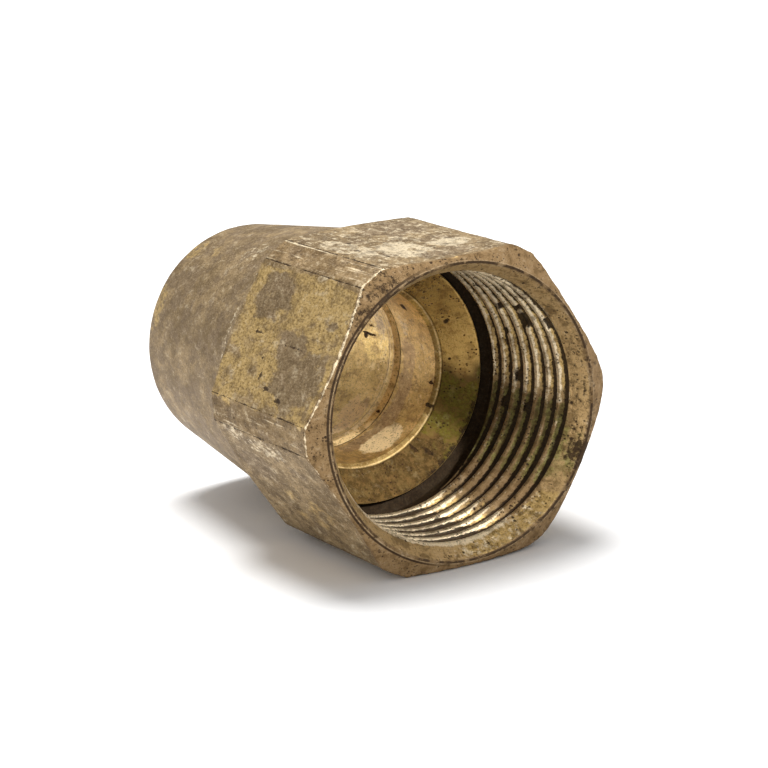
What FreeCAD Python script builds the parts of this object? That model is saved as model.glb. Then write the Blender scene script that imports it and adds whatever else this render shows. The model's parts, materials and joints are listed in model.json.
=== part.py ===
"""One half of a brass pipe union: a hexagonal union nut with a long tapered neck, and the coned
tail sleeve that turns freely inside it and takes the tube.

Frame: both pieces share an axis along Y. The threaded mouth faces -Y and the tube leaves
towards +Y. A hex flat faces -Z, and the origin is on the axis, half-way along the nut.
Sizes are in millimetres. A profile is a list of (radius, depth, rounding) corners, where depth
is measured from the mouth along the axis.
"""
import FreeCAD, Part
import math
import os

# Hexagon and its ends
ACROSS_FLATS = 27.0
CORNER_RADIUS = 14.9
HEX_LENGTH = 18.15
MOUTH_RING_RADIUS = 12.9
MOUTH_CHAMFER_DEG = 27.6

# Tapered neck
NUT_LENGTH = 39.4
NECK_ROOT_RADIUS = 13.15
NECK_ROOT_DEPTH = 18.9
NECK_ROOT_ROUNDING = 2.2
NECK_END_RADIUS = 10.75
NECK_END_ROUNDING = 0.6

# Inside of the nut: a 1 inch thread, 14 turns to the inch, as a plain bore of its minor radius
THREAD_MINOR_RADIUS = 11.7
THREAD_START_DEPTH = 2.2
THREAD_END_DEPTH = 14.3
RELIEF_RADIUS = 12.75
RELIEF_END_DEPTH = 16.35

# Tail sleeve
SHANK_RADIUS = 9.0
WATERWAY_RADIUS = 8.15
SOCKET_RADIUS = 8.0
STOP_RADIUS = 7.9
STOP_START_DEPTH = 24.8
STOP_END_DEPTH = 26.75
STOP_SLOPE = 0.7
TAIL_END_DEPTH = 39.2
FLARE_RADIUS = 11.35
FLARE_FACE_DEPTH = 15.5
FLARE_EDGE_LENGTH = 1.2
SEAT_INNER_RADIUS = 8.45
SEAT_INNER_DEPTH = 18.15
BORE_EDGE = 0.3
EDGE_BREAK = 0.15

# Gaps that let the tail turn in the nut
SHANK_CLEARANCE = 0.05
FLARE_BACK_CLEARANCE = 0.1
FLARE_EDGE_CLEARANCE = 0.25


def section_point(radius, depth):
    """A point of the half section, in the XY plane."""
    return FreeCAD.Vector(radius, depth - NUT_LENGTH / 2, 0)


def corner_rounding(before, corner, after, rounding):
    """The start, middle and end of the tangent arc that rounds a corner."""
    to_before = (before - corner).normalize()
    to_after = (after - corner).normalize()
    half_angle = to_before.getAngle(to_after) / 2
    bisector = (to_before + to_after).normalize()
    reach = rounding / math.tan(half_angle)
    middle_distance = rounding / math.sin(half_angle) - rounding
    start = corner + to_before * reach
    middle = corner + bisector * middle_distance
    end = corner + to_after * reach
    return start, middle, end


def revolved(corners):
    """The solid swept by a closed half section, given as (radius, depth, rounding) corners."""
    points = [section_point(radius, depth) for radius, depth, _ in corners]
    arrivals = []
    departures = []
    edges = []
    for index, (_, _, rounding) in enumerate(corners):
        corner = points[index]
        if rounding == 0:
            arrivals.append(corner)
            departures.append(corner)
            continue
        before = points[index - 1]
        after = points[(index + 1) % len(points)]
        start, middle, end = corner_rounding(before, corner, after, rounding)
        edges.append(Part.Arc(start, middle, end).toShape())
        arrivals.append(start)
        departures.append(end)
    for index, departure in enumerate(departures):
        arrival = arrivals[(index + 1) % len(points)]
        edges.append(Part.LineSegment(departure, arrival).toShape())
    outline = Part.Wire(Part.__sortEdges__(edges))
    turned = Part.Face(outline).revolve(FreeCAD.Vector(0, 0, 0), FreeCAD.Vector(0, 1, 0), 360)
    return turned


def hexagonal_bar():
    """A hexagonal bar along the axis, as long as the nut, with flats facing up and down."""
    across_corners_radius = ACROSS_FLATS / 2 / math.cos(math.radians(30))
    corners = []
    for index in range(7):
        angle = math.radians(60 * index)
        x = across_corners_radius * math.cos(angle)
        z = across_corners_radius * math.sin(angle)
        corners.append(FreeCAD.Vector(x, -NUT_LENGTH / 2, z))
    outline = Part.makePolygon(corners)
    return Part.Face(outline).extrude(FreeCAD.Vector(0, NUT_LENGTH, 0))


def flare_back_sum(clearance):
    """Radius plus depth along the 45 degree back of the flare, moved back by a clearance."""
    return FLARE_RADIUS + FLARE_FACE_DEPTH + FLARE_EDGE_LENGTH + clearance


def union_nut():
    """The nut: a hexagon with a turned mouth, a threaded bore, a relief and a tapered neck."""
    chamfer_width = CORNER_RADIUS - MOUTH_RING_RADIUS
    chamfer_depth = chamfer_width * math.tan(math.radians(MOUTH_CHAMFER_DEG))
    neck_bore_radius = SHANK_RADIUS + SHANK_CLEARANCE
    shoulder_radius = FLARE_RADIUS + FLARE_EDGE_CLEARANCE
    shoulder_sum = flare_back_sum(FLARE_BACK_CLEARANCE)
    corners = [
        (MOUTH_RING_RADIUS, 0, 0),
        (CORNER_RADIUS, chamfer_depth, 0),
        (CORNER_RADIUS, HEX_LENGTH, 0),
        (NECK_ROOT_RADIUS, NECK_ROOT_DEPTH, NECK_ROOT_ROUNDING),
        (NECK_END_RADIUS, NUT_LENGTH, NECK_END_ROUNDING),
        (neck_bore_radius, NUT_LENGTH, EDGE_BREAK),
        (neck_bore_radius, shoulder_sum - neck_bore_radius, 0),
        (shoulder_radius, shoulder_sum - shoulder_radius, 0),
        (RELIEF_RADIUS, RELIEF_END_DEPTH, 0),
        (RELIEF_RADIUS, THREAD_END_DEPTH, 0),
        (THREAD_MINOR_RADIUS, THREAD_END_DEPTH, 0),
        (THREAD_MINOR_RADIUS, THREAD_START_DEPTH, 0),
    ]
    return revolved(corners).common(hexagonal_bar())


def tail_sleeve():
    """The tail: a thin sleeve flared to a conical seat in front, with a socket for the tube."""
    flare_back_depth = FLARE_FACE_DEPTH + FLARE_EDGE_LENGTH
    corners = [
        (FLARE_RADIUS, FLARE_FACE_DEPTH, EDGE_BREAK),
        (FLARE_RADIUS, flare_back_depth, EDGE_BREAK),
        (SHANK_RADIUS, flare_back_sum(0) - SHANK_RADIUS, 0),
        (SHANK_RADIUS, TAIL_END_DEPTH, EDGE_BREAK),
        (SOCKET_RADIUS, TAIL_END_DEPTH, EDGE_BREAK),
        (SOCKET_RADIUS, STOP_END_DEPTH, 0),
        (STOP_RADIUS, STOP_END_DEPTH - STOP_SLOPE, 0),
        (STOP_RADIUS, STOP_START_DEPTH + STOP_SLOPE, 0),
        (WATERWAY_RADIUS, STOP_START_DEPTH, 0),
        (WATERWAY_RADIUS, SEAT_INNER_DEPTH + BORE_EDGE, 0),
        (SEAT_INNER_RADIUS, SEAT_INNER_DEPTH, 0),
    ]
    return revolved(corners)


def main():
    """Write each piece as a STEP file of its own."""
    os.makedirs("parts", exist_ok=True)
    pieces = {"union_nut": union_nut(), "tail_sleeve": tail_sleeve()}
    for name, piece in pieces.items():
        piece.exportStep("parts/" + name + ".step")
        print(name, "valid", piece.isValid(), "volume mm3", round(piece.Volume, 1))


main()
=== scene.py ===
"""Half of a brass pipe union on a pale table: a worn, forged union nut, seen into its threaded
mouth, and the coned tail sleeve that turns inside it.

The fitting's axis lies along Y and its mouth faces -Y. Sections are worked out in millimetres,
as (radius, depth behind the mouth), and angles run counter-clockwise seen from the mouth, with
0 at +X. Meshes are in metres.
"""
import itertools
import json
import math
from types import SimpleNamespace

import bmesh
import bpy
import numpy as np
from mathutils import Euler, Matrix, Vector


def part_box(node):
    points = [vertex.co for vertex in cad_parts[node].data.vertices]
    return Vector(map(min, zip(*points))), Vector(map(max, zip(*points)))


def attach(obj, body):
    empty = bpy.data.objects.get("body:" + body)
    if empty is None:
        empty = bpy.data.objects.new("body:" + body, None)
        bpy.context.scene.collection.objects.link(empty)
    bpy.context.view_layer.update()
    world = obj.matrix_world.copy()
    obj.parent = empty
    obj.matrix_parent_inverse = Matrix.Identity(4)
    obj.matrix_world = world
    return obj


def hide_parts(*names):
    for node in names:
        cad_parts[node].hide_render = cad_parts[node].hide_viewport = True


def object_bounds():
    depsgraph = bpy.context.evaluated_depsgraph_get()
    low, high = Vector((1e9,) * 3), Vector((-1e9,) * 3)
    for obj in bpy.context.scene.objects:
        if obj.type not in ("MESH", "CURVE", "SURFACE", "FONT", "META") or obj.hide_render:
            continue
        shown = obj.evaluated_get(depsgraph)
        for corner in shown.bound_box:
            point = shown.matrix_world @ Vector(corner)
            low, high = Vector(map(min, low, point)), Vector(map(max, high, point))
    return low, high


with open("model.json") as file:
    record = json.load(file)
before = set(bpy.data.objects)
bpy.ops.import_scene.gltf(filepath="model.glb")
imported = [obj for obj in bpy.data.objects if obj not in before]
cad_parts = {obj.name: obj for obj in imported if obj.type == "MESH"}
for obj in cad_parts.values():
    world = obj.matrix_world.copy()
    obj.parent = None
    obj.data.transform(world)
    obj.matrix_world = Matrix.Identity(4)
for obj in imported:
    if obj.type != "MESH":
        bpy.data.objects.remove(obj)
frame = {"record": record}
cad_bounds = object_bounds()

MM = 0.001
# Points of a mesh nearer than this, in metres, are merged
MERGE_DISTANCE = 1e-7


# ---------------------------------------------------------------- sizes

def box_in_millimetres(node):
    """The lowest and highest corners of a CAD node, in millimetres."""
    low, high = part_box(node)
    return np.array(low) / MM, np.array(high) / MM


mounts = {mount["name"]: mount for mount in frame["record"]["mounts"]}
nut_low, nut_high = box_in_millimetres("union_nut")
tail_low, tail_high = box_in_millimetres("tail_sleeve")
thread_mount = mounts["coupling_thread"]

# Nut, from the frame
MOUTH_Y = nut_low[1]
NUT_LENGTH = nut_high[1] - nut_low[1]
APOTHEM = nut_high[2]
CORNER_RADIUS = nut_high[0]
THREAD_MINOR = thread_mount["dims"]["r_mm"]
THREAD_MIDDLE = thread_mount["pos_m"][1] / MM - MOUTH_Y
THREAD_START = THREAD_MIDDLE - thread_mount["dims"]["length_mm"] / 2
THREAD_END = THREAD_MIDDLE + thread_mount["dims"]["length_mm"] / 2

# Tail, from the frame
SOCKET_RADIUS = mounts["tube_socket"]["dims"]["r_mm"]
FLARE_RADIUS = tail_high[0]
FLARE_DEPTH = tail_low[1] - MOUTH_Y
TAIL_END = tail_high[1] - MOUTH_Y

# Nut, as in the CAD model: corners are (radius, depth, rounding)
MOUTH_RADIUS = 12.9
MOUTH_SLOPE = math.tan(math.radians(27.6))
HEXAGON_BACK = 18.15
NECK_FRONT = 18.9
NECK_END_RADIUS = 10.75
NECK_BORE = 9.05
SHOULDER_RADIUS = 11.6
RELIEF_RADIUS = 12.75
RELIEF_END = 16.35
NUT_BACK = [
    (CORNER_RADIUS, HEXAGON_BACK, 0),
    (13.15, NECK_FRONT, 2.2),
    (NECK_END_RADIUS, NUT_LENGTH, 0.6),
    (NECK_BORE, NUT_LENGTH, 0.15),
    (NECK_BORE, 19.1, 0.1),
    (SHOULDER_RADIUS, RELIEF_END + 0.2, 0.1),
    (RELIEF_RADIUS, RELIEF_END, 0.1),
    (RELIEF_RADIUS, THREAD_END, 0.1),
]
# Half the angle in degrees that the strip on each corner takes up
STRIP_HALF_ANGLE = 30 - math.degrees(math.acos(APOTHEM / CORNER_RADIUS))
# How far the mouth's rounded crest reaches inwards, its depth there, and how far it reaches outwards
CREST_INWARDS = 0.09
CREST_INNER_DEPTH = 0.165
CREST_OUTWARDS = 0.2

# Thread: 14 turns to the inch, right-hand, 60 degrees. Shares are parts of the pitch.
PITCH = 25.4 / 14
THREAD_HEIGHT = 0.5413 * PITCH
ROOT_SHARE = 1 / 16
CREST_SHARE = 3 / 8
ROOT_DEPTH_AT_ZERO = 4.48
GROOVE_FIRST_DEPTH = 0.35
GROOVE_LEAD_IN = 0.7
GROOVE_FULL_DEPTH = 2.4
SNAP = 0.02
PITCH_ROWS = [0, 0.0625, 0.17, 0.28, 0.36, 0.4, 0.5, 0.6, 0.64, 0.72, 0.83, 0.9375]

# Tail, as in the CAD model
SLEEVE_RADIUS = 9.0
WATERWAY_RADIUS = 8.15
RIM_RADIUS = 8.45
RIM_DEPTH = 18.15
STOP_RADIUS = 7.9
STOP_FRONT = 24.8
STOP_BACK = 26.75
TAIL_SECTION = [
    (FLARE_RADIUS, FLARE_DEPTH, 0.15),
    (FLARE_RADIUS, FLARE_DEPTH + 1.2, 0.15),
    (SLEEVE_RADIUS, 19.05, 0.4),
    (SLEEVE_RADIUS, TAIL_END, 0.15),
    (SOCKET_RADIUS, TAIL_END, 0.15),
    (SOCKET_RADIUS, STOP_BACK, 0.1),
    (STOP_RADIUS, STOP_BACK - 0.7, 0.3),
    (STOP_RADIUS, STOP_FRONT + 0.7, 0.5),
    (WATERWAY_RADIUS, STOP_FRONT, 0.1),
    (WATERWAY_RADIUS, RIM_DEPTH + 0.3, 0.05),
    (RIM_RADIUS, RIM_DEPTH, 0.05),
]

# How wide the grain of the brass is, as a share of its length along the axis
GRAIN_WIDTH = 0.6

# Mesh: columns round the axis, rows along it, and distances between rows
NUT_COLUMNS_PER_FLAT = 39
STRIP_COLUMNS = 9
TAIL_COLUMNS = 300
CHAMFER_ROWS = 8
FLAT_ROWS = 60
STEP_ROWS = 16
NECK_SPACING = 0.36
TAIL_SPACING = 0.12
# How far along the nut's back section, in millimetres, the rows stop following the hexagon
STEP_LENGTH = 5.0

# The zones of the nut's surface, in the order they are made
MOUTH_ZONE, FLAT_ZONE, NECK_ZONE, THREAD_ZONE = range(4)


# ---------------------------------------------------------------- numbers and noise

# A table of random values, and the factors that scatter neighbouring cells of the noise over it
NOISE_TABLE = np.random.RandomState(7).uniform(-1, 1, 4096)
CELL_FACTORS = np.array([1619, 31337, 6971])
SEED_FACTOR = 1013
SCATTER_FACTOR = 2654435761


def lattice_noise(points, seed=0):
    """Smooth noise between -1 and 1 at each point, with features about one unit across."""
    cell = np.floor(points).astype(np.int64)
    local = points - cell
    ease = local ** 3 * (local * (local * 6 - 15) + 10)
    total = np.zeros(len(points))
    for corner in itertools.product((0, 1), repeat=3):
        index = (cell + np.array(corner)) @ CELL_FACTORS + seed * SEED_FACTOR
        index = (index * SCATTER_FACTOR % 2 ** 32) >> 11
        weight = np.prod(np.where(corner, ease, 1 - ease), axis=1)
        total += weight * NOISE_TABLE[index % len(NOISE_TABLE)]
    return total


def layered_noise(points, octaves, seed=0):
    """Noise with detail at several scales, each half as large and half as strong."""
    total = np.zeros(len(points))
    for octave in range(octaves):
        total += lattice_noise(points * 2 ** octave, seed + octave) / 2 ** octave
    return total


def smooth_step(low, high, value):
    """0 below low, 1 above high, and an even curve between."""
    share = np.clip((value - low) / (high - low), 0, 1)
    return share * share * (3 - 2 * share)


def soft_min(first, second, softness):
    """The smaller of two values, rounded where they cross."""
    share = np.clip(0.5 + 0.5 * (second - first) / softness, 0, 1)
    return second + (first - second) * share - softness * share * (1 - share)


def soft_max(first, second, softness):
    """The larger of two values, rounded where they cross."""
    return -soft_min(-first, -second, softness)


def band(value, low, high, softness):
    """1 between low and high, fading over the softness at each side."""
    rising = smooth_step(low - softness, low + softness, value)
    return rising * smooth_step(high + softness, high - softness, value)


# ---------------------------------------------------------------- sections

def rounded_path(corners, closed):
    """Points along a path of (radius, depth, rounding) corners, with arcs sampled finely."""
    points = [np.array(corner[:2]) for corner in corners]
    path = []
    for index, (*_, rounding) in enumerate(corners):
        here = points[index]
        at_end = not closed and index in (0, len(corners) - 1)
        if rounding == 0 or at_end:
            path.append(here)
            continue
        back = points[index - 1] - here
        onward = points[(index + 1) % len(points)] - here
        back /= np.linalg.norm(back)
        onward /= np.linalg.norm(onward)
        half_angle = math.acos(np.clip(back @ onward, -1, 1)) / 2
        reach = rounding / math.tan(half_angle)
        for step in np.linspace(0, 1, 9):
            blend = (1 - step) ** 2 * (here + back * reach) + 2 * step * (1 - step) * here
            path.append(blend + step ** 2 * (here + onward * reach))
    if closed:
        path.append(path[0])
    return np.array(path)


def path_lengths(path):
    """How far along the path each of its points is."""
    steps = np.linalg.norm(np.diff(path, axis=0), axis=1)
    return np.concatenate([[0], np.cumsum(steps)])


def at_length(path, lengths):
    """Radius and depth at each length along a path."""
    known = path_lengths(path)
    return np.interp(lengths, known, path[:, 0]), np.interp(lengths, known, path[:, 1])


def spaced_lengths(path, spacing):
    """Lengths along a path at an even spacing, and at each of its bends."""
    known = path_lengths(path)
    lengths = [0.0]
    for start, end in zip(known[:-1], known[1:]):
        count = max(1, math.ceil((end - start) / spacing))
        lengths.extend(np.linspace(start, end, count + 1)[1:])
    return np.array(lengths)


def tail_lengths(section):
    """Lengths along the tail's section: close together at the seat's inner rim, and at every bend."""
    known = path_lengths(section)
    even = spaced_lengths(section, TAIL_SPACING)
    depths = np.interp(even, known, section[:, 1])
    lengths = []
    for number, (length, depth) in enumerate(zip(even, depths)):
        near_rim = abs(depth - RIM_DEPTH - 0.15) < 0.35
        at_bend = np.min(np.abs(known - length)) < 1e-6
        if near_rim or at_bend or number % 3 == 0:
            lengths.append(length)
    return np.array(lengths)


def curve_between(start, corner, end, steps):
    """Points of a rounded corner, where start, corner and end are (radii, depths) rows."""
    rows = []
    for share in steps:
        row = []
        for first, middle, last in zip(start, corner, end):
            value = (1 - share) ** 2 * first + 2 * share * (1 - share) * middle
            row.append(value + share ** 2 * last)
        rows.append(tuple(row))
    return rows


# ---------------------------------------------------------------- the nut's surface

def nut_column_angles():
    """Angles of the nut's mesh columns, close together at the edges of the corner strips."""
    half = STRIP_HALF_ANGLE
    edge = np.array([-0.4, 0, 0.4])
    strip = np.linspace(0.75 - half, half - 0.75, STRIP_COLUMNS)
    flat = np.linspace(half + 0.8, 60 - half - 0.8, NUT_COLUMNS_PER_FLAT)
    sector = np.concatenate([edge - half, strip, edge + half, flat])
    return np.radians((sector + 60 * np.arange(6)[:, None]).ravel())


def worn_side(angles):
    """1 on the right-hand side of the mouth, where the edges are worn round, and 0 on the left."""
    return smooth_step(0.1, 0.7, np.cos(angles + 0.3))


def hexagon_radius(angles):
    """Radius of the hexagon at each angle, with its corners turned off to a cylinder."""
    from_middle = np.degrees(angles) % 60 - 30
    flat = APOTHEM / np.cos(np.radians(from_middle))
    return soft_min(flat, CORNER_RADIUS, 0.14 + 0.56 * worn_side(angles))


def countersink_radius(depths):
    """Radius of the cone that leads into the thread."""
    share = np.clip(depths / THREAD_START, 0, 1)
    return MOUTH_RADIUS + (THREAD_MINOR - MOUTH_RADIUS) * share


def groove_share(angles, depths):
    """How deep into the thread's groove each place is: 0 on a crest, 1 at a root."""
    turns = (depths - ROOT_DEPTH_AT_ZERO) / PITCH + angles / (2 * math.pi)
    from_root = np.abs(turns - np.round(turns))
    share = (CREST_SHARE - from_root) / (CREST_SHARE - ROOT_SHARE)
    rounded = soft_min(soft_max(share, 0.0, 0.12), 1.0, 0.1)
    return rounded * smooth_step(THREAD_START - GROOVE_LEAD_IN, GROOVE_FULL_DEPTH, depths)


def mouth_rows(angles):
    """Rows from the mouth's crest over the chamfer and round the hexagon's front edge.

    Also returns the hexagon's radii and the depths at which its flats begin.
    """
    hexagon = hexagon_radius(angles)
    ones = np.ones_like(angles)
    inner = (ones * (MOUTH_RADIUS - CREST_INWARDS), ones * CREST_INNER_DEPTH)
    crest = (ones * MOUTH_RADIUS, ones * 0.0)
    outer = (ones * (MOUTH_RADIUS + CREST_OUTWARDS), ones * CREST_OUTWARDS * MOUTH_SLOPE)
    rounding_steps = (0, 0.25, 0.5, 0.75, 1)
    rows = curve_between(inner, crest, outer, rounding_steps)
    edge_width = 0.13 + 0.22 * worn_side(angles)
    edge_start = hexagon - edge_width
    for share in np.linspace(0, 1, CHAMFER_ROWS)[1:-1]:
        radii = outer[0] + (edge_start - outer[0]) * share
        rows.append((radii, (radii - MOUTH_RADIUS) * MOUTH_SLOPE))
    start = (edge_start, (edge_start - MOUTH_RADIUS) * MOUTH_SLOPE)
    corner = (hexagon, (hexagon - MOUTH_RADIUS) * MOUTH_SLOPE)
    end = (hexagon, corner[1] + 1.5 * edge_width)
    rows += curve_between(start, corner, end, rounding_steps)
    return rows, hexagon, end[1]


def nut_rows(angles):
    """All of the nut's plain rows in order, from the mouth to the thread's deep end, and their zones."""
    rows, hexagon, flat_start = mouth_rows(angles)
    zones = [MOUTH_ZONE] * len(rows)
    back = rounded_path(NUT_BACK, closed=False)
    known = path_lengths(back)
    falling = back[: np.argmin(back[:, 0] > APOTHEM - 0.5) + 1]
    start_length = np.interp(-hexagon, -falling[:, 0], known[: len(falling)])
    _, flat_end = at_length(back, start_length)
    for share in np.linspace(0, 1, FLAT_ROWS)[1:]:
        rows.append((hexagon, flat_start + (flat_end - flat_start) * share))
        zones.append(FLAT_ZONE)
    for share in np.linspace(0, 1, STEP_ROWS)[1:]:
        rows.append(at_length(back, start_length + (STEP_LENGTH - start_length) * share))
        zones.append(NECK_ZONE)
    neck_length = known[np.argmin(np.abs(back[:, 1] - NUT_LENGTH))]
    for length in spaced_lengths(back, NECK_SPACING):
        hidden = length > neck_length + 1.5
        skipped = hidden and length not in known and round(length / NECK_SPACING) % 3
        if length > STEP_LENGTH + 0.2 and not skipped:
            radius, depth = at_length(back, length)
            rows.append((np.full_like(angles, radius), np.full_like(angles, depth)))
            zones.append(NECK_ZONE)
    return rows, zones


def ring_points(angles, radii, depths):
    """Points in metres from angles, radii and depths."""
    x = radii * np.cos(angles)
    y = depths + MOUTH_Y + np.zeros_like(angles)
    z = radii * np.sin(angles)
    return np.stack([x, y, z], axis=-1) * MM


def ring_faces(starts, columns):
    """Quads between each ring of points and the next, from the numbers of the rings' first points."""
    starts = np.array(starts)[:, None]
    first, second = starts[:-1], starts[1:]
    column = np.arange(columns)
    onward = (column + 1) % columns
    quads = np.stack([first + column, second + column, second + onward, first + onward], axis=-1)
    return quads.reshape(-1, 4)


def thread_block(angles):
    """Rows that follow the thread's helix from its deep end to the mouth, and their quads.

    Row j of the last column meets row j + turn of the first, one pitch nearer the mouth.
    Points past either end, or nearer to it than SNAP, lie on the circle there, and are merged later.
    """
    turn = len(PITCH_ROWS)
    pitches = math.ceil((THREAD_END - GROOVE_FIRST_DEPTH) / PITCH) + 2
    deepest = ROOT_DEPTH_AT_ZERO
    while deepest - PITCH < THREAD_END:
        deepest += PITCH
    shares = np.array([k + share for k in range(pitches + 1) for share in PITCH_ROWS])
    depths = deepest - PITCH * shares[:, None] - PITCH * angles[None, :] / (2 * math.pi)
    depths = np.clip(depths, GROOVE_FIRST_DEPTH, THREAD_END)
    for end in (GROOVE_FIRST_DEPTH, THREAD_END):
        depths[np.abs(depths - end) < SNAP] = end
    around = np.broadcast_to(angles[None, :], depths.shape)
    height = THREAD_HEIGHT * groove_share(around, depths)
    radii = np.maximum(THREAD_MINOR + height, countersink_radius(depths))
    columns = len(angles)
    faces = []
    for row in range(len(shares) - 1):
        for column in range(columns):
            a = row * columns + column
            if column + 1 < columns:
                b = a + 1
            elif row + 1 + turn < len(shares):
                b = (row + turn) * columns
            else:
                continue
            faces.append((a, a + columns, b + columns, b))
    return ring_points(around, radii, depths).reshape(-1, 3), np.array(faces)


# ---------------------------------------------------------------- wear and stains

# Marks: (angle in degrees, depth, half-size round the axis, half-size along it, amount)
GOLD_ON_NUT = [
    (134, 6.2, 1.9, 5.0, 1.0),
    (146, 15.4, 1.7, 1.7, 0.9),
    (150, 2.2, 1.8, 0.9, 0.6),
    (160, 13.2, 3.4, 3.4, 0.62),
    (149, 4.3, 0.8, 0.8, 0.9),
    (169, 5.9, 0.6, 1.3, 0.9),
    (173, 14.5, 0.9, 3.0, 0.7),
    (218, 8.5, 2.6, 5.0, 0.4),
    (119, 38.0, 1.6, 1.2, 0.9),
    (155, 38.3, 3.2, 1.2, 0.8),
    (119, 34.0, 1.2, 4.5, 0.35),
    (300, 9.0, 3.0, 6.0, 0.6),
    (335, 26.0, 3.0, 7.0, 0.6),
    (25, 9.0, 3.2, 5.0, 0.55),
    (30, 31.0, 2.6, 5.0, 0.6),
    (262, 30.0, 3.0, 6.0, 0.5),
]
DULL_ON_NUT = [
    (136, 14.0, 2.3, 2.8, 0.85),
    (152, 8.0, 1.7, 3.0, 0.9),
    (162, 5.6, 2.8, 3.9, 0.95),
    (139, 3.4, 0.7, 1.2, 0.7),
    (160, 2.2, 2.4, 0.8, 0.8),
    (202, 14.5, 1.5, 3.0, 0.8),
    (196, 6.0, 1.2, 2.2, 0.5),
    (228, 9.8, 0.8, 0.8, 0.9),
    (86, 3.0, 2.6, 1.5, 1.1),
    (78, 8.0, 1.6, 2.4, 0.7),
    (80, 14.6, 3.0, 3.2, 1.0),
    (100, 13.0, 1.3, 1.6, 0.5),
    (104, 5.4, 0.7, 0.7, 0.8),
    (142, 34.2, 3.0, 2.2, 0.8),
    (150, 26.5, 4.0, 4.0, 0.45),
    # Painted shade: a dark band round the neck's start just behind the hexagon, where a shallow hollow
    # turns from the light.
    (132, 23.0, 9.0, 0.9, 0.6),
    (196, 30.0, 3.0, 5.0, 0.6),
    (20, 13.0, 2.6, 3.0, 0.8),
    (330, 6.0, 3.0, 3.0, 0.8),
    (265, 12.0, 3.0, 3.0, 0.8),
    (300, 14.0, 2.0, 2.0, 0.8),
    (60, 30.0, 3.4, 4.0, 0.7),
    (300, 28.0, 4.0, 4.0, 0.7),
]
PALE_ON_NUT = [
    (96, 6.5, 2.6, 4.0, 0.66),
    (76, 6.2, 2.0, 1.9, 0.66),
    (108, 10.0, 1.4, 5.5, 0.55),
    (88, 10.0, 1.5, 3.0, 0.45),
    (190, 10.0, 1.0, 4.5, 0.45),
    (187, 15.0, 0.8, 2.0, 0.5),
    (116, 26.0, 1.6, 2.0, 0.4),
    # Painted highlight: a pale band just behind the hexagon, where the neck's start catches the light.
    (160, 20.3, 5.0, 0.45, 0.4),
    (118, 21.0, 2.6, 0.6, 0.55),
    (340, 33.0, 2.0, 3.0, 0.4),
    (240, 24.0, 2.0, 3.0, 0.5),
]
DARK_ON_NUT = [
    (154, 11.6, 0.9, 0.14, 1.0),
    (164, 11.2, 0.7, 0.16, 1.0),
    (158, 11.9, 0.4, 0.2, 0.8),
    (168, 9.6, 0.25, 0.5, 0.9),
    (170, 7.0, 0.22, 0.7, 0.9),
    (151, 7.6, 0.14, 2.2, 0.7),
    (105.5, 5.2, 0.16, 0.5, 0.9),
    (104.0, 12.2, 0.2, 0.5, 0.8),
    (108.0, 8.6, 0.14, 0.7, 0.7),
    (150, 14.2, 0.12, 0.8, 0.8),
]
STAINS_AT_MOUTH = [
    (-27, 0.6, 1.3, 0.9, 0.4),
    (125, 0.6, 3.0, 1.5, 0.16),
]
CHIPS_IN_THREAD = [
    (25, 7.0, 0.8, 0.75, 1.0),
    (32, 7.0, 0.3, 0.7, 1.0),
    (29, 10.4, 0.3, 0.5, 1.0),
    (17, 11.0, 0.25, 0.4, 1.0),
    (-4, 10.5, 0.4, 0.5, 1.0),
    (-17, 12.3, 0.5, 0.6, 1.0),
    (-16, 8.4, 0.4, 0.6, 1.0),
    (27, 2.9, 0.5, 0.6, 1.0),
    (-2, 11.9, 0.4, 0.3, 1.0),
]
GOLD_IN_TAIL = [
    (-2, 29.0, 1.9, 3.2, 0.75),
    (34, 19.0, 1.8, 1.4, 0.8),
    (150, 22.0, 3.0, 3.0, 0.7),
]
# Painted pools of light and highlights on the bore's wall, where the lamp shines in through the mouth.
PALE_IN_TAIL = [
    (-65, 21.0, 2.0, 1.65, 1.7),
    (-62, 20.0, 1.2, 0.7, 0.9),
    (-60, 28.0, 2.2, 0.8, 1.6),
    (-52, 29.5, 1.5, 1.0, 1.1),
    (17, 23.3, 1.4, 0.7, 0.55),
    (0, 20.6, 2.2, 1.6, 0.36),
    (12, 28.3, 1.0, 2.0, 0.42),
    (160, 27.5, 2.5, 2.0, 0.6),
]
DARK_IN_TAIL = [
    (34, 21.2, 0.42, 0.36, 1.2),
    (2.2, 30.2, 0.14, 1.25, 1.2),
    (0.2, 30.9, 0.25, 0.35, 1.2),
    (9, 29.4, 0.1, 0.8, 0.8),
    (-46.5, 25.2, 0.14, 0.2, 1.2),
    (-30.5, 18.4, 0.14, 0.45, 1.0),
    (-16.5, 18.9, 0.13, 0.4, 0.9),
    (-54, 16.9, 0.16, 0.35, 1.0),
    (-58, 17.7, 0.12, 0.4, 0.9),
    (22, 17.2, 0.2, 0.2, 0.9),
]


def patches(at, radius, marks, softness=0.45):
    """The strongest of a list of soft oval marks at each place."""
    total = np.zeros(len(at.angles))
    for centre_angle, centre_depth, half_round, half_along, amount in marks:
        round_way = np.radians((at.angles - centre_angle + 180) % 360 - 180) * radius
        distance = np.hypot(round_way / half_round, (at.depths - centre_depth) / half_along)
        total = np.maximum(total, amount * smooth_step(1 + softness, 1 - softness, distance))
    return total


def places(mesh):
    """Where each point of a mesh is, in millimetres and degrees, and which way it faces."""
    points = np.empty(len(mesh.vertices) * 3)
    mesh.vertices.foreach_get("co", points)
    points = points.reshape(-1, 3) / MM
    normals = np.empty(len(mesh.vertices) * 3, dtype=np.float32)
    mesh.vertex_normals.foreach_get("vector", normals)
    normals = normals.reshape(-1, 3)
    return SimpleNamespace(
        points=points,
        normals=normals,
        angles=np.degrees(np.arctan2(points[:, 2], points[:, 0])),
        radii=np.hypot(points[:, 0], points[:, 2]),
        depths=points[:, 1] - MOUTH_Y,
        facing_in=normals[:, 0] * points[:, 0] + normals[:, 2] * points[:, 2] < 0,
    )


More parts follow.
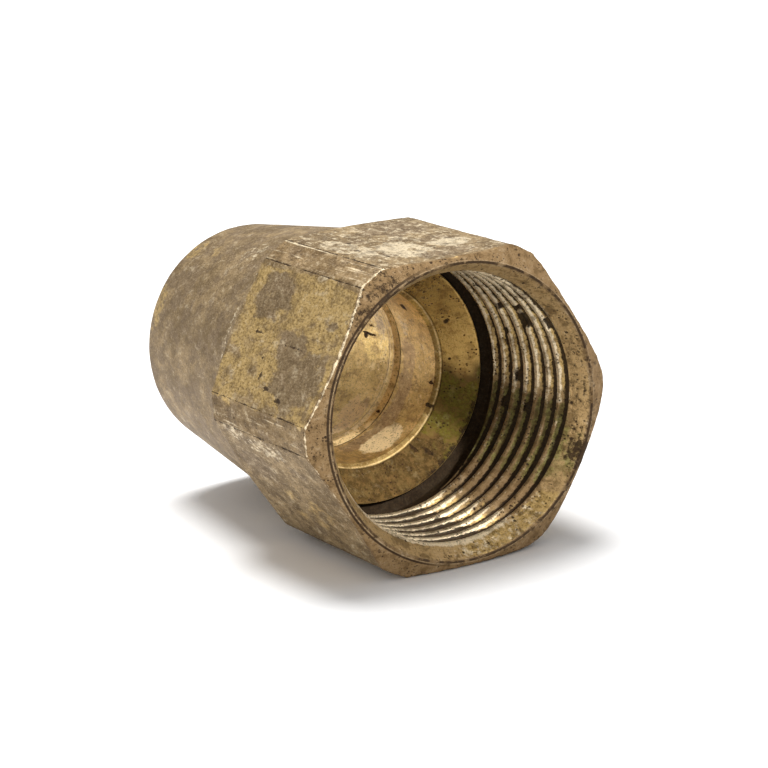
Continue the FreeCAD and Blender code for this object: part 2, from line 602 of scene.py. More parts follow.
def write_masks(mesh, masks):
    """Store named numbers on a mesh's points for its material to read."""
    for name, values in masks.items():
        layer = mesh.attributes.new(name, "FLOAT", "POINT")
        layer.data.foreach_set("value", values.astype(np.float32))


def move_inward(mesh, at, amount):
    """Sink each point below its surface by an amount in millimetres."""
    moved = (at.points - at.normals * amount[:, None]) * MM
    mesh.vertices.foreach_set("co", moved.ravel())
    mesh.update()


def dents(at, radius, count, depth_range, size_range, biggest, seed):
    """How deep a scatter of small round dents is at each place, from a seeded draw."""
    draw = np.random.RandomState(seed)
    total = np.zeros(len(at.angles))
    for _ in range(count):
        angle = draw.uniform(-180, 180)
        depth = draw.uniform(*depth_range)
        size = draw.uniform(*size_range)
        stretch = draw.uniform(0.6, 1.5)
        deepest = biggest * draw.uniform(0.3, 1)
        round_way = np.radians((at.angles - angle + 180) % 360 - 180) * radius
        distance = np.hypot(round_way / size, (at.depths - depth) / (size * stretch))
        total = np.maximum(total, deepest * (1 - smooth_step(0, 1, distance)))
    return total


def nut_regions(mesh):
    """Where each point of the nut is, and how far it belongs to each region, from 0 to 1."""
    at = places(mesh)
    zones = np.empty(len(mesh.vertices), dtype=np.float32)
    mesh.attributes["zone"].data.foreach_get("value", zones)
    inside_back = (zones == NECK_ZONE) & (at.depths < 19.5) & (at.radii < 13) & at.facing_in
    outside = (zones < THREAD_ZONE) & (at.radii > 10.3) & (at.normals[:, 1] < 0.9) & ~inside_back
    at.relief = inside_back * smooth_step(11.4, 11.7, at.radii)
    at.neck = outside * smooth_step(HEXAGON_BACK + 0.05, NECK_FRONT + 0.1, at.depths)
    at.threaded = (zones == THREAD_ZONE).astype(float)
    at.chamfer = (zones == MOUTH_ZONE).astype(float)
    at.skin = outside * (1 - at.chamfer)
    at.flats = at.skin * (1 - at.neck)

    from_corner = np.abs((at.angles + 30) % 60 - 30)
    half = STRIP_HALF_ANGLE
    at.strip = at.flats * smooth_step(half + 0.4, half - 0.3, from_corner)
    at.strip_edge = at.flats * band(from_corner, half - 0.15, half + 0.35, 0.3)
    at.left_flat = at.flats * band(at.angles % 360, 126, 176, 1.0)
    at.top_flat = at.flats * band(at.angles, 64, 116, 1.5)

    hexagon = hexagon_radius(np.radians(at.angles))
    edge_depth = 0.1 + (hexagon - MOUTH_RADIUS) * MOUTH_SLOPE
    at.front_edge = np.exp(-((at.depths - edge_depth) / 0.14) ** 2) * (1 - at.threaded)
    at.front_edge *= smooth_step(0.4, 0.1, np.abs(at.radii - hexagon))

    # The cone at the mouth, then the thread itself; dirt and green have gathered low on its right
    at.in_thread = at.threaded * smooth_step(1.6, 2.3, at.depths)
    at.countersink = at.threaded * (1 - at.in_thread)
    at.share = at.threaded * groove_share(np.radians(at.angles), at.depths)
    at.crest = at.in_thread * smooth_step(0.2, 0.02, at.share)
    at.chips = at.in_thread * patches(at, THREAD_MINOR, CHIPS_IN_THREAD, 0.2)
    at.foul = band(at.angles, -66, -8, 8)
    at.middling = layered_noise(at.points * 0.9, 3, seed=11)
    return at


def wear_nut(mesh, at):
    """Sink the rough forged skin, the drawn strips, the nicked front edge and the chipped thread."""
    broad = layered_noise(at.points * 0.28, 3, seed=3)
    fine = layered_noise(at.points * 2.6, 2, seed=19)
    around = np.radians(at.angles) * CORNER_RADIUS
    streak_places = np.stack([around * 3.2, at.depths * 0.22, np.zeros_like(around)], axis=-1)
    streaks = layered_noise(streak_places, 3, seed=23)
    ripple = np.sin(at.depths * 2 * math.pi / 0.52 + np.radians(at.angles) * 0.6)
    ripple *= smooth_step(0.4, 0.7, at.depths)

    rough = 0.05 + 0.022 * broad + 0.012 * at.middling + 0.008 * fine
    sunk = at.skin * np.clip(rough, 0, None)
    sunk += at.skin * dents(at, APOTHEM, 90, (0.8, 38.5), (0.25, 0.85), 0.07, seed=5)
    sunk += at.strip * np.clip(0.02 + 0.05 * streaks, 0, None)
    sunk += at.strip_edge * 0.03
    sunk += at.front_edge * np.clip(0.03 + 0.075 * fine + 0.05 * at.middling, 0, 0.16)
    sunk += at.countersink * np.clip(0.012 + 0.012 * ripple + 0.012 * fine, 0, None)
    sunk += at.chamfer * np.clip(0.012 + 0.012 * fine, 0, None)
    thread_wear = np.clip(0.008 + 0.007 * fine, 0, None) + 0.45 * at.chips * (1 - at.share)
    sunk += at.in_thread * thread_wear
    move_inward(mesh, at, sunk)


def rubbed_nut(at):
    """Where the nut is rubbed golden, dull or pale; the pale also holds painted highlights on the thread
    and the top flat, and the dull a painted shaded band behind the hexagon.
    """
    angles, depths, share = at.angles, at.depths, at.share
    around = angles % 360
    outside = at.flats + at.neck
    left_edge = at.front_edge * smooth_step(100, 122, around) * smooth_step(245, 185, around)

    gold = outside * patches(at, APOTHEM, GOLD_ON_NUT)
    on_flanks = band(angles, -75, 80, 10) * smooth_step(0.06, 0.22, share)
    gold += 0.7 * at.in_thread * on_flanks * (1 - 0.85 * at.foul)
    gold += 0.3 * (at.front_edge - left_edge)
    gold += 0.75 * at.countersink * band(angles, -95, -45, 8)
    gold = np.maximum(gold, 0.6 * at.left_flat)

    dull = outside * patches(at, APOTHEM, DULL_ON_NUT)
    dull = np.maximum(dull, 0.42 * at.neck) + 0.35 * at.strip

    pale = outside * patches(at, APOTHEM, PALE_ON_NUT)
    # The top flat is made paler as a painted sheen from the lamp overhead; the corner strips are rubbed
    # pale.
    pale = np.maximum(pale, 0.33 * at.top_flat) + 0.17 * at.strip
    pale += left_edge * (0.85 - 0.35 * smooth_step(165, 185, around))
    # Painted highlights on the thread: its crests, and the flanks low and high in the mouth that face
    # the lamps, are made pale.
    lit_low_threads = smooth_step(-62, -84, angles) * smooth_step(-150, -110, angles)
    lit_high_threads = smooth_step(14, 30, angles) * smooth_step(120, 70, angles)
    crest_highlights = (0.6 * at.crest + 0.3 * smooth_step(0.4, 0.2, share)) * (1 - 0.75 * at.foul)
    side_highlights = (1.3 * lit_low_threads + 0.85 * lit_high_threads) * smooth_step(0.34, 0.2, share)
    pale += at.in_thread * (crest_highlights + side_highlights)
    pale += 0.38 * at.countersink * band(angles, -100, -48, 10)
    return {"gold": gold, "dull": dull, "pale": pale}


def dirty_nut(at):
    """Where dirt and green lie on the nut, and where shade is painted dark in its grooves and recesses.
    """
    angles, depths, share = at.angles, at.depths, at.share
    grime_and_shade = at.flats * patches(at, APOTHEM, DARK_ON_NUT, 0.6)
    grime_and_shade += at.strip_edge * (0.8 + 0.3 * at.middling)

    # Dirt and painted shade fill the thread's grooves from this share of their depth; the share changes
    # round the mouth with how steeply each groove is seen.
    dirt_line = 0.4 - 0.17 * smooth_step(10, 40, angles)
    dirt_line += 0.07 * smooth_step(-120, -175, angles) - 0.24 * smooth_step(-60, -90, angles)
    grime_and_shade += at.in_thread * 1.3 * smooth_step(0, 0.14, share - dirt_line)
    grime_and_shade += at.in_thread * 0.35 * band(angles, -50, -20, 12) * smooth_step(0.2, 0.4, share)
    grime_and_shade += at.chips
    # Painted shade, with some dirt, deep in the relief groove behind the thread.
    grime_and_shade += at.relief * (1.3 - 0.78 * smooth_step(15.7, 14.9, depths))

    ridges = np.clip(np.sin(depths * 2 * math.pi / 0.62 + 0.8), 0, 1) * band(angles, -100, 20, 20)
    grime_and_shade += at.countersink * (0.1 + 0.22 * ridges + 0.14 * band(angles, -25, 20, 6))
    from_crest = at.radii - MOUTH_RADIUS
    grime_and_shade += 0.12 * band(depths, -0.1, 0.35, 0.1) * band(from_crest, -0.3, 0.4, 0.05)
    grime_and_shade += (at.chamfer + at.countersink) * patches(at, MOUTH_RADIUS, STAINS_AT_MOUTH)
    on_chamfer = 0.18 + 0.08 * band(angles % 360, 105, 240, 8) + 0.1 * band(angles, -62, 20, 12)
    grime_and_shade += at.chamfer * on_chamfer

    low_right = smooth_step(-52, -40, angles) * smooth_step(-8, -11, angles)
    green = at.in_thread * low_right * (0.95 - 0.6 * at.crest)
    green += 0.55 * at.countersink * band(angles, -40, -16, 6)
    return {"grime_and_shade": grime_and_shade, "green": green}


def finish_nut(mesh):
    """Wear the nut's surface a little, and mark where it is stained, rubbed or green, and where
    highlights and shade are painted on it.
    """
    at = nut_regions(mesh)
    wear_nut(mesh, at)
    soiled = at.chamfer + 0.3 * at.strip + 0.95 * at.in_thread * at.foul
    write_masks(mesh, {
        **rubbed_nut(at),
        **dirty_nut(at),
        "strip": at.strip,
        "machined": np.maximum(at.threaded, at.relief),
        "inner": at.threaded,
        "soiled": np.clip(soiled, 0, 1),
        "calm": np.clip(0.75 * at.neck + 0.5 * at.left_flat, 0, 1),
    })


def finish_tail(mesh):
    """Mark where the tail is stained, rubbed or green, and where pools of light and highlights are
    painted on it.
    """
    at = places(mesh)
    angles, radii, depths = at.angles, at.radii, at.depths
    wandering = angles + 9 * layered_noise(at.points * 0.4, 3, seed=31)
    seat = at.facing_in * band(depths, FLARE_DEPTH - 0.2, RIM_DEPTH - 0.05, 0.06)
    seat = seat * smooth_step(RIM_RADIUS + 0.05, RIM_RADIUS + 0.15, radii)
    low_seat = seat * band(wandering, -145, -8, 13)
    bore = at.facing_in * smooth_step(RIM_DEPTH - 0.1, RIM_DEPTH + 0.05, depths)
    stop = bore * band(depths, STOP_FRONT + 0.5, STOP_BACK - 0.3, 0.12)
    rim_slope = band(radii, 8.1, 8.4, 0.04) * band(depths, 18.1, 18.5, 0.04)
    from_flare = np.hypot(radii - FLARE_RADIUS, depths - FLARE_DEPTH)

    pale = bore * patches(at, SOCKET_RADIUS, PALE_IN_TAIL)
    # Painted highlights on the stop's bead and on the bore just behind it.
    pale += 0.5 * stop * band(angles, -80, -45, 8)
    pale += 0.35 * bore * band(depths, 26.9, 28.4, 0.2)
    pale += 0.5 * np.exp(-(from_flare / 0.12) ** 2)

    grime_and_shade = at.facing_in * patches(at, SOCKET_RADIUS, DARK_IN_TAIL, 0.5)
    grime_and_shade += seat * (0.08 + 0.08 * band(angles, -62, -45, 6) + 0.3 * band(angles, 38, 150, 10))
    grime_and_shade += 0.55 * seat * smooth_step(10.6, 11.3, radii) * band(angles, -70, -16, 10)
    grime_and_shade += 0.12 * bore * band(depths, 18.1, 19.9, 0.4)

    write_masks(mesh, {
        "gold": bore * patches(at, SOCKET_RADIUS, GOLD_IN_TAIL),
        "dull": 0.95 * bore * band(depths, 22.1, 24.3, 0.25) * band(angles, -85, 5, 5),
        "pale": pale,
        "grime_and_shade": grime_and_shade,
        "green": 0.95 * seat * band(wandering, -48, -13, 13),
        "strip": np.zeros(len(angles)),
        "machined": np.ones(len(angles)),
        "inner": seat,
        "soiled": np.clip(low_seat + 0.45 * rim_slope, 0, 1),
        "calm": 0.9 * bore * patches(at, SOCKET_RADIUS, PALE_IN_TAIL, 0.2),
    })


def mesh_object(name, points, faces, zones):
    """A mesh object with doubled points merged and a zone number on each point."""
    mesh = bpy.data.meshes.new(name)
    mesh.from_pydata(points.tolist(), [], faces.tolist())
    layer = mesh.attributes.new("zone", "FLOAT", "POINT")
    layer.data.foreach_set("value", zones.astype(np.float32))
    work = bmesh.new()
    work.from_mesh(mesh)
    bmesh.ops.remove_doubles(work, verts=work.verts, dist=MERGE_DISTANCE)
    bmesh.ops.dissolve_degenerate(work, edges=work.edges, dist=MERGE_DISTANCE)
    bmesh.ops.recalc_face_normals(work, faces=work.faces)
    work.to_mesh(mesh)
    work.free()
    mesh.shade_smooth()
    piece = bpy.data.objects.new(name, mesh)
    bpy.context.collection.objects.link(piece)
    return piece


def make_nut():
    """The union nut's mesh: one closed surface over the hexagon, neck, inside and thread."""
    angles = nut_column_angles()
    columns = len(angles)
    rows, row_zones = nut_rows(angles)
    points = [ring_points(angles, radii, depths) for radii, depths in rows]
    thread_points, thread_faces = thread_block(angles)
    points.append(thread_points)
    zones = np.concatenate([np.repeat(row_zones, columns), np.full(len(thread_points), THREAD_ZONE)])
    starts = np.arange(len(rows) + 1) * columns
    last_ring = starts[-1] + len(thread_points) - columns
    faces = [ring_faces(starts, columns), thread_faces + starts[-1], ring_faces([last_ring, 0], columns)]
    nut = mesh_object("nut_body", np.concatenate(points), np.concatenate(faces), zones)
    finish_nut(nut.data)
    return nut


def make_tail():
    """The tail sleeve's mesh: its closed section turned about the axis."""
    angles = np.linspace(0, 2 * math.pi, TAIL_COLUMNS, endpoint=False)
    section = rounded_path(TAIL_SECTION, closed=True)
    radii, depths = at_length(section, tail_lengths(section)[:-1])
    points = np.concatenate([ring_points(angles, radius, depth) for radius, depth in zip(radii, depths)])
    starts = [*range(0, len(points), TAIL_COLUMNS), 0]
    tail = mesh_object("tail_body", points, ring_faces(starts, TAIL_COLUMNS), np.zeros(len(points)))
    finish_tail(tail.data)
    return tail


# ---------------------------------------------------------------- materials

class NodeKit:
    """Short ways to add and join a material's shader nodes."""

    def __init__(self, name):
        self.material = bpy.data.materials.new(name)
        self.material.use_nodes = True
        self.tree = self.material.node_tree
        self.shader = self.tree.nodes["Principled BSDF"]
        self.coordinates = self.tree.nodes.new("ShaderNodeTexCoord").outputs["Object"]
        self.grained = self.stretched(self.coordinates, (1 / MM, GRAIN_WIDTH / MM, 1 / MM))

    def turned_places(self):
        """Distance to the right of the axis, radius and depth behind the mouth, in millimetres."""
        parts = self.tree.nodes.new("ShaderNodeSeparateXYZ")
        self.feed(parts.inputs["Vector"], self.stretched(self.coordinates, (1 / MM, 1 / MM, 1 / MM)))
        across, along, up = parts.outputs
        squares = self.plus(self.times(across, across), self.times(up, up))
        return across, self.math("SQRT", squares), self.math("SUBTRACT", along, float(MOUTH_Y))

    def feed(self, socket, value):
        """Join a socket to another, or set it to a number or colour."""
        if isinstance(value, bpy.types.NodeSocket):
            self.tree.links.new(value, socket)
        elif isinstance(value, tuple) and len(value) == 3 and socket.type == "RGBA":
            socket.default_value = (*value, 1)
        else:
            socket.default_value = value

    def stretched(self, coordinates, scale):
        """Coordinates multiplied by a scale along each axis."""
        node = self.tree.nodes.new("ShaderNodeMapping")
        node.inputs["Scale"].default_value = scale
        self.feed(node.inputs["Vector"], coordinates)
        return node.outputs["Vector"]

    def noise(self, scale, detail=3, roughness=0.55, stretch=None, distortion=0.0):
        """Noise from about 0 to 1; scale is in features per millimetre."""
        node = self.tree.nodes.new("ShaderNodeTexNoise")
        place = self.stretched(self.grained, stretch) if stretch else self.grained
        self.feed(node.inputs["Vector"], place)
        node.inputs["Scale"].default_value = scale
        node.inputs["Detail"].default_value = detail
        node.inputs["Roughness"].default_value = roughness
        node.inputs["Distortion"].default_value = distortion
        return node.outputs["Fac"]

    def specks(self, scale, size):
        """Small spots, 1 inside and 0 outside; size is a share of their spacing."""
        node = self.tree.nodes.new("ShaderNodeTexVoronoi")
        self.feed(node.inputs["Vector"], self.grained)
        node.inputs["Scale"].default_value = scale
        return self.step(node.outputs["Distance"], size * 1.3, size * 0.7)

    def mask(self, name):
        """A number stored on the mesh's points."""
        node = self.tree.nodes.new("ShaderNodeAttribute")
        node.attribute_name = name
        return node.outputs["Fac"]

    def math(self, kind, first, second=0.0, clamp=False):
        """One math node's result."""
        node = self.tree.nodes.new("ShaderNodeMath")
        node.operation = kind
        node.use_clamp = clamp
        self.feed(node.inputs[0], first)
        self.feed(node.inputs[1], second)
        return node.outputs[0]

    def times(self, first, second):
        """The product of two values."""
        return self.math("MULTIPLY", first, second)

    def plus(self, first, second):
        """The sum of two values."""
        return self.math("ADD", first, second)

    def most(self, first, second):
        """The larger of two values."""
        return self.math("MAXIMUM", first, second)

    def step(self, value, low, high, start=0.0, end=1.0):
        """A smooth step from start at low to end at high."""
        node = self.tree.nodes.new("ShaderNodeMapRange")
        node.interpolation_type = "SMOOTHSTEP"
        self.feed(node.inputs["Value"], value)
        if low > high:
            low, high, start, end = high, low, end, start
        node.inputs["From Min"].default_value = low
        node.inputs["From Max"].default_value = high
        node.inputs["To Min"].default_value = start
        node.inputs["To Max"].default_value = end
        return node.outputs["Result"]

    def broken(self, amount, noise, spread, edge):
        """A mask with ragged edges: 0 where the amount is 0, 1 where it is 1, patchy between."""
        swing = self.times(self.math("SUBTRACT", noise, 0.5), spread * 2)
        patchy = self.step(self.plus(amount, swing), 0.5 - edge, 0.5 + edge)
        return self.times(patchy, self.step(amount, 0.0, 0.1))

    def line(self, value, centre, half_width, softness):
        """1 where a value is within half a width of the centre, and 0 beyond it."""
        away = self.math("ABSOLUTE", self.math("SUBTRACT", value, centre))
        return self.step(away, half_width + softness, max(half_width - softness, 0.0))

    def mix(self, share, first, second):
        """A colour between two colours."""
        node = self.tree.nodes.new("ShaderNodeMix")
        node.data_type = "RGBA"
        self.feed(node.inputs[0], share)
        self.feed(node.inputs[6], first)
        self.feed(node.inputs[7], second)
        return node.outputs[2]

    def blend(self, share, first, second):
        """A number between two numbers."""
        node = self.tree.nodes.new("ShaderNodeMix")
        self.feed(node.inputs[0], share)
        self.feed(node.inputs[2], first)
        self.feed(node.inputs[3], second)
        return node.outputs[0]

    def bump(self, height, distance, strength):
        """Relief; the distance is how far a height of 1 stands out, in millimetres."""
        node = self.tree.nodes.new("ShaderNodeBump")
        node.inputs["Strength"].default_value = strength
        node.inputs["Distance"].default_value = distance * MM
        self.feed(node.inputs["Height"], height)
        return node.outputs["Normal"]


def brass_layers(kit, pale_lines, dark_lines):
    """The layers of old brass, each a mask from 0 to 1, and the noises they share."""
    on = SimpleNamespace(pale_lines=pale_lines)
    on.ragged = kit.noise(1.1, 5, 0.65, distortion=0.4)
    on.grain = kit.noise(4.5, 3, 0.6)
    on.dust = kit.noise(9.0, 2, 0.5)
    on.streaks = kit.noise(1.6, 3, 0.6, stretch=(2.2, 0.16, 2.2))
    on.strip = kit.mask("strip")
    on.inner = kit.mask("inner")

    on.soiled = kit.times(kit.mask("soiled"), kit.step(kit.noise(1.4, 4, 0.65), 0.34, 0.56, 0.84, 1.0))
    on.gold = kit.broken(kit.mask("gold"), kit.noise(0.9, 4, 0.5, distortion=0.3), 0.85, 0.2)
    on.dull = kit.broken(kit.mask("dull"), kit.noise(0.8, 4, 0.6), 1.2, 0.2)
    pale_noise = kit.blend(on.strip, kit.noise(1.9, 5, 0.7), on.streaks)
    # The pale mask and lines hold rubbed wear and also painted highlights and pools of light.
    on.pale = kit.most(kit.broken(kit.mask("pale"), pale_noise, 1.0, 0.16), pale_lines)
    on.green = kit.broken(kit.mask("green"), on.ragged, 0.7, 0.18)

    exposed = kit.most(on.inner, on.soiled)
    pits = kit.times(kit.specks(1.5, 0.19), kit.step(kit.noise(1.1, 3), 0.52, 0.58))
    small_pits = kit.times(kit.specks(3.4, 0.26), kit.step(kit.noise(0.8, 3), 0.47, 0.58))
    pits = kit.times(pits, kit.blend(exposed, 0.25, 1.0))
    pits = kit.most(pits, kit.times(small_pits, kit.blend(exposed, 0.35, 0.95)))
    pits = kit.times(pits, kit.blend(kit.mask("calm"), 1.0, 0.1))
    # The dirt mask also holds painted shade in grooves and recesses, and the dark lines hold painted
    # shade at the edges of the tail's rim and stop.
    dirt = kit.broken(kit.mask("grime_and_shade"), kit.noise(2.4, 5, 0.7), 0.85, 0.14)
    on.dirt = kit.most(kit.most(dirt, pits), dark_lines)
    return on


def brass_colour(kit, on, colours):
    """Skin, gold, dull, pale and green places, then mottling, speckle, and dirt with painted shade over
    them; the pale places hold painted highlights too.
    """
    broad = kit.step(kit.noise(0.35, 4, 0.6), 0.38, 0.62)
    skin = kit.mix(broad, colours["skin_dark"], colours["skin_light"])
    skin = kit.mix(on.inner, skin, colours["inner"])
    skin = kit.mix(on.soiled, skin, colours["soiled"])
    gold_tone = kit.mix(kit.step(on.grain, 0.3, 0.7), colours["gold_dark"], colours["gold_light"])
    colour = kit.mix(on.gold, skin, gold_tone)
    colour = kit.mix(kit.times(on.dull, 0.85), colour, colours["dull"])
    colour = kit.mix(kit.times(on.pale, 0.9), colour, colours["pale"])
    green_tone = kit.mix(kit.step(on.grain, 0.4, 0.62), colours["green_dark"], colours["green_light"])
    colour = kit.mix(kit.times(on.green, 0.85), colour, green_tone)

    lively = kit.blend(kit.mask("calm"), 1.0, 0.4)
    covered = kit.most(kit.most(on.green, on.soiled), on.inner)
    clean = kit.times(kit.math("SUBTRACT", 1.0, covered), lively)
    mottle = kit.noise(1.15, 6, 0.66, distortion=0.25)
    dark_mottle = kit.times(kit.step(mottle, 0.52, 0.37, 0.0, 0.62), lively)
    light_mottle = kit.times(kit.step(mottle, 0.54, 0.7, 0.0, 0.5), kit.blend(clean, 0.2, 1.0))
    speckle = kit.plus(kit.times(on.grain, 0.7), kit.times(on.dust, 0.3))
    dark_speckle = kit.step(speckle, 0.48, 0.36, 0.0, 0.5)
    light_speckle = kit.times(kit.step(speckle, 0.54, 0.66, 0.0, 0.28), clean)
    for dark, light in ((dark_mottle, light_mottle), (dark_speckle, light_speckle)):
        colour = kit.mix(dark, colour, colours["shade"])
        colour = kit.mix(light, colour, colours["pale"])

    dirt_tone = kit.mix(kit.step(on.grain, 0.3, 0.7), colours["dirt"], colours["dirt_edge"])
    return kit.mix(kit.times(on.dirt, 0.94), colour, dirt_tone)


def brass_roughness(kit, on, roughness):
    """Smoother where rubbed, rougher under dirt and painted shade, and uneven with the grain."""
    rough = kit.blend(on.gold, roughness["skin"], roughness["gold"])
    rough = kit.blend(on.pale, rough, roughness["pale"])
    rough = kit.blend(kit.most(on.dirt, kit.most(on.green, on.soiled)), rough, roughness["dirty"])
    uneven = kit.times(kit.math("SUBTRACT", on.grain, 0.5), 0.25)
    return kit.math("ADD", rough, uneven, clamp=True)


def brass_metal(kit, on, metallic):
    """Most like metal where rubbed, and not at all under dirt and painted shade."""
    metal = kit.blend(on.gold, metallic["skin"], metallic["gold"])
    metal = kit.blend(on.pale, metal, metallic["pale"])
    metal = kit.blend(kit.times(on.soiled, 0.7), metal, metallic["soiled"])
    metal = kit.blend(on.pale_lines, metal, metallic["soiled"])
    return kit.blend(kit.most(on.dirt, on.green), metal, 0.0)


def brass_relief(kit, on):
    """Fine height: the forged skin's grain, the strips' streaks, turning rings, dirt with painted shade,
    and dust.
    """
    machined = kit.mask("machined")
    rings = kit.times(kit.noise(7.0, 2, 0.5, stretch=(0.04, 1, 0.04)), machined)
    skin = kit.plus(kit.times(on.grain, 0.9), kit.times(on.ragged, 0.9))
    relief = kit.times(skin, kit.blend(machined, 0.6, 0.4))
    relief = kit.plus(relief, kit.times(on.streaks, on.strip))
    relief = kit.plus(relief, kit.times(rings, 0.35))
    relief = kit.math("SUBTRACT", relief, kit.times(on.dirt, 0.7))
    return kit.plus(relief, kit.times(on.dust, 0.2))


def aged_brass(kit, colours, roughness, metallic, pale_lines, dark_lines):
    """Old brass: brown skin, rubbed gold, dull, pale and green places, black dirt and pits, and painted
    highlights and shade.
    """
    on = brass_layers(kit, pale_lines, dark_lines)
    kit.feed(kit.shader.inputs["Base Color"], brass_colour(kit, on, colours))
    kit.feed(kit.shader.inputs["Roughness"], brass_roughness(kit, on, roughness))
    kit.feed(kit.shader.inputs["Metallic"], brass_metal(kit, on, metallic))
    kit.shader.inputs["Specular IOR Level"].default_value = 0.12
    kit.feed(kit.shader.inputs["Normal"], kit.bump(brass_relief(kit, on), 0.06, 0.9))
    return kit.material


def nut_material():
    """Brown forged brass, with thin lines round the mouth's crest."""
    colours = {
        "skin_dark": (0.175, 0.116, 0.052),
        "skin_light": (0.290, 0.202, 0.100),
        "inner": (0.365, 0.245, 0.110),
        "soiled": (0.190, 0.120, 0.056),
        "gold_dark": (0.400, 0.268, 0.098),
        "gold_light": (0.530, 0.362, 0.138),
        "dull": (0.205, 0.142, 0.078),
        "pale": (0.740, 0.615, 0.415),
        "green_dark": (0.056, 0.050, 0.008),
        "green_light": (0.150, 0.135, 0.036),
        "shade": (0.078, 0.044, 0.015),
        "dirt": (0.012, 0.006, 0.002),
        "dirt_edge": (0.028, 0.014, 0.005),
    }
    roughness = {"skin": 0.55, "gold": 0.45, "pale": 0.44, "dirty": 0.72}
    metallic = {"skin": 0.65, "gold": 0.8, "pale": 0.7, "soiled": 0.2}
    kit = NodeKit("aged_forged_brass")
    across, radius, depth = kit.turned_places()
    broken_up = kit.step(kit.noise(0.9, 3, 0.6), 0.4, 0.5, 0.35, 1.0)
    at_mouth = kit.step(depth, 0.6, 0.4)
    on_left = kit.step(across, -1.0, -6.0)
    crest_line = kit.times(kit.line(radius, MOUTH_RADIUS + 0.03, 0.11, 0.04), broken_up)
    outer_line = kit.times(kit.line(radius, MOUTH_RADIUS + 0.33, 0.09, 0.04), on_left)
    dark_lines = kit.times(kit.most(crest_line, outer_line), at_mouth)
    pale_lines = kit.times(kit.line(radius, MOUTH_RADIUS + 0.18, 0.03, 0.03), 0.15)
    return aged_brass(kit, colours, roughness, metallic, pale_lines, dark_lines)


def tail_material():
    """Brighter turned brass, with painted highlights on the rim and the stop, and thin lines of painted
    shade at their edges.
    """
    colours = {
        "skin_dark": (0.545, 0.355, 0.110),
        "skin_light": (0.725, 0.490, 0.180),
        "inner": (0.600, 0.385, 0.122),
        "soiled": (0.086, 0.052, 0.016),
        "gold_dark": (0.620, 0.410, 0.115),
        "gold_light": (0.800, 0.550, 0.190),
        "dull": (0.440, 0.282, 0.130),
        "pale": (1.000, 0.770, 0.410),
        "green_dark": (0.105, 0.082, 0.008),
        "green_light": (0.180, 0.148, 0.020),
        "shade": (0.230, 0.130, 0.040),
        "dirt": (0.014, 0.008, 0.003),
        "dirt_edge": (0.070, 0.038, 0.012),
    }
    roughness = {"skin": 0.4, "gold": 0.34, "pale": 0.3, "dirty": 0.72}
    metallic = {"skin": 0.8, "gold": 0.85, "pale": 0.1, "soiled": 0.2}
    kit = NodeKit("turned_brass_tail")
    _, radius, depth = kit.turned_places()
    broken_up = kit.step(kit.noise(0.9, 3, 0.6), 0.36, 0.52, 0.5, 1.0)
    in_bore = kit.step(radius, RIM_RADIUS - 0.05, RIM_RADIUS - 0.15)
    on_seat = kit.step(depth, RIM_DEPTH + 0.05, RIM_DEPTH - 0.05)
    on_slope = kit.step(depth, RIM_DEPTH + 0.2, RIM_DEPTH + 0.1)

    # Painted shade: thin dark lines at the stop bead's edges and in the crevice just outside the rim.
    shade_before_stop = kit.line(depth, STOP_FRONT - 0.06, 0.07, 0.04)
    shade_behind_stop = kit.times(kit.line(depth, STOP_BACK - 0.3, 0.05, 0.04), 0.6)
    stop_shade_lines = kit.times(kit.most(shade_before_stop, shade_behind_stop), in_bore)
    rim_shade_line = kit.times(kit.line(radius, RIM_RADIUS + 0.15, 0.05, 0.03), on_seat)
    dark_lines = kit.times(kit.most(stop_shade_lines, kit.times(rim_shade_line, 0.7)), broken_up)

    # Painted highlights: the stop bead's lit face and the rim's lip.
    stop_highlight = kit.times(kit.line(depth, STOP_FRONT + 0.4, 0.4, 0.06), in_bore)
    rim_highlight = kit.times(kit.line(radius, RIM_RADIUS + 0.03, 0.035, 0.025), on_slope)
    pale_lines = kit.most(kit.times(stop_highlight, 0.85), kit.times(rim_highlight, 0.6))
    return aged_brass(kit, colours, roughness, metallic, pale_lines, dark_lines)


def table_material():
    """Matt white board with a faint grain."""
    kit = NodeKit("table_white")
    grain = kit.noise(0.6, 4, 0.6)
    kit.feed(kit.shader.inputs["Base Color"], kit.mix(grain, (0.95, 0.95, 0.955), (0.99, 0.99, 0.99)))
    kit.shader.inputs["Roughness"].default_value = 0.85
    kit.feed(kit.shader.inputs["Normal"], kit.bump(grain, 0.02, 0.3))
    return kit.material


# ---------------------------------------------------------------- stage, light and camera

def make_floor():
    """A wide pale table top under the lowest flat."""
    bpy.ops.mesh.primitive_plane_add(size=4, location=(0, 0, cad_bounds[0].z))
    floor = bpy.context.object
    floor.name = "table_top"
    floor.data.materials.append(table_material())


def add_lamp(name, kind, energy, place, aim):
    """A lamp at a place in millimetres, turned towards an aim."""
    lamp = bpy.data.objects.new(name, bpy.data.lights.new(name, kind))
    lamp.data.energy = energy
    lamp.location = Vector(place) * MM
    lamp.rotation_euler = (Vector(aim) - Vector(place)).to_track_quat("-Z", "Y").to_euler()
    bpy.context.collection.objects.link(lamp)
    return lamp


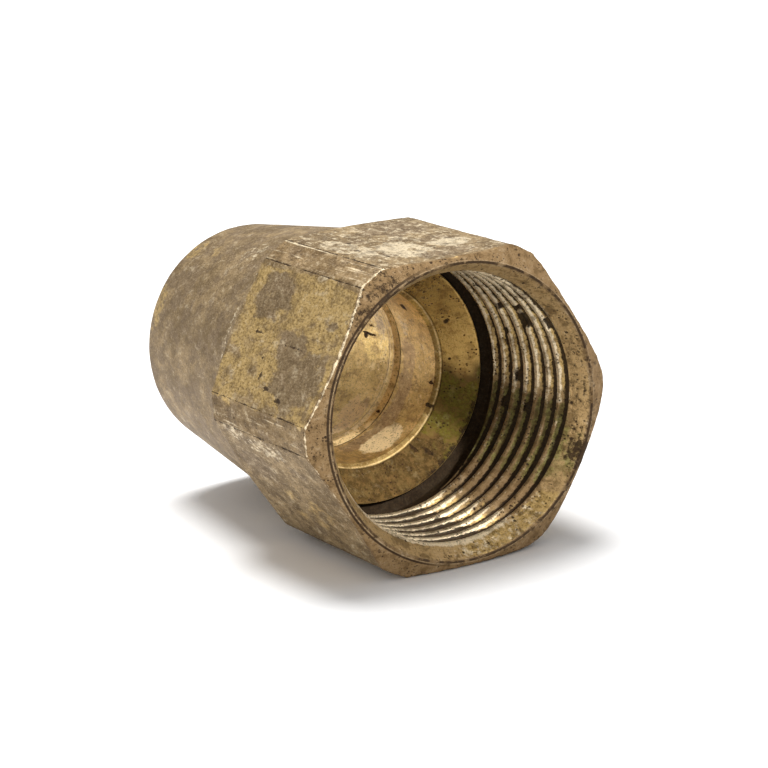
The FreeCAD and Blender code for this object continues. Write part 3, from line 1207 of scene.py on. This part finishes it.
def make_lights(fitting):
    """A white room, a broad lamp above and a little behind, and two that light only the fitting.

    Those two are a narrow spot in front, aimed into the mouth, and a soft box at the left. They
    leave the table alone, so that only the broad lamp's soft shadow falls on it.
    """
    world = bpy.data.worlds.new("white_room")
    bpy.context.scene.world = world
    world.use_nodes = True
    background = world.node_tree.nodes["Background"]
    background.inputs["Color"].default_value = (1, 1, 1, 1)
    background.inputs["Strength"].default_value = 0.55

    ceiling = add_lamp("ceiling", "SUN", 3.4, (0, 0, 0), (-0.06, -0.26, -1))
    ceiling.data.angle = math.radians(29)
    front_spot = add_lamp("front_spot", "SPOT", 17, (65, -350, 225), (0, -16, 0))
    front_spot.data.spot_size = math.radians(6.4)
    front_spot.data.spot_blend = 0.5
    front_spot.data.shadow_soft_size = 0.03
    left_box = add_lamp("left_box", "AREA", 0.95, (-360, -150, 90), (0, 0, 0))
    left_box.data.size = 0.3
    for lamp in (front_spot, left_box):
        lamp.light_linking.receiver_collection = fitting


def make_camera():
    """A long lens, above and to the left of the mouth, tilted a little; lengths are in millimetres."""
    azimuth = math.radians(-29.2)
    elevation = math.radians(14.35)
    roll = math.radians(3.96)
    distance = 272.3
    aim = Vector((0, -5.96, 0))
    backward = Vector((
        math.sin(azimuth) * math.cos(elevation),
        -math.cos(azimuth) * math.cos(elevation),
        math.sin(elevation),
    ))
    data = bpy.data.cameras.new("camera")
    data.lens = 144.6
    data.sensor_width = 36
    data.clip_start = 0.01
    camera = bpy.data.objects.new("camera", data)
    camera.location = (aim + backward * distance) * MM
    turn = (-backward).to_track_quat("-Z", "Y").to_matrix()
    camera.rotation_euler = (turn @ Euler((0, 0, -roll)).to_matrix()).to_euler()
    bpy.context.collection.objects.link(camera)
    bpy.context.scene.camera = camera


fitting = bpy.data.collections.new("fitting")
make_camera()
make_lights(fitting)
make_floor()
bpy.context.scene.view_settings.view_transform = "Standard"

nut = make_nut()
nut.data.materials.append(nut_material())
fitting.objects.link(nut)
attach(nut, "nut")
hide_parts("union_nut")

tail = make_tail()
tail.data.materials.append(tail_material())
fitting.objects.link(tail)
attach(tail, "tail")
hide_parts("tail_sleeve")
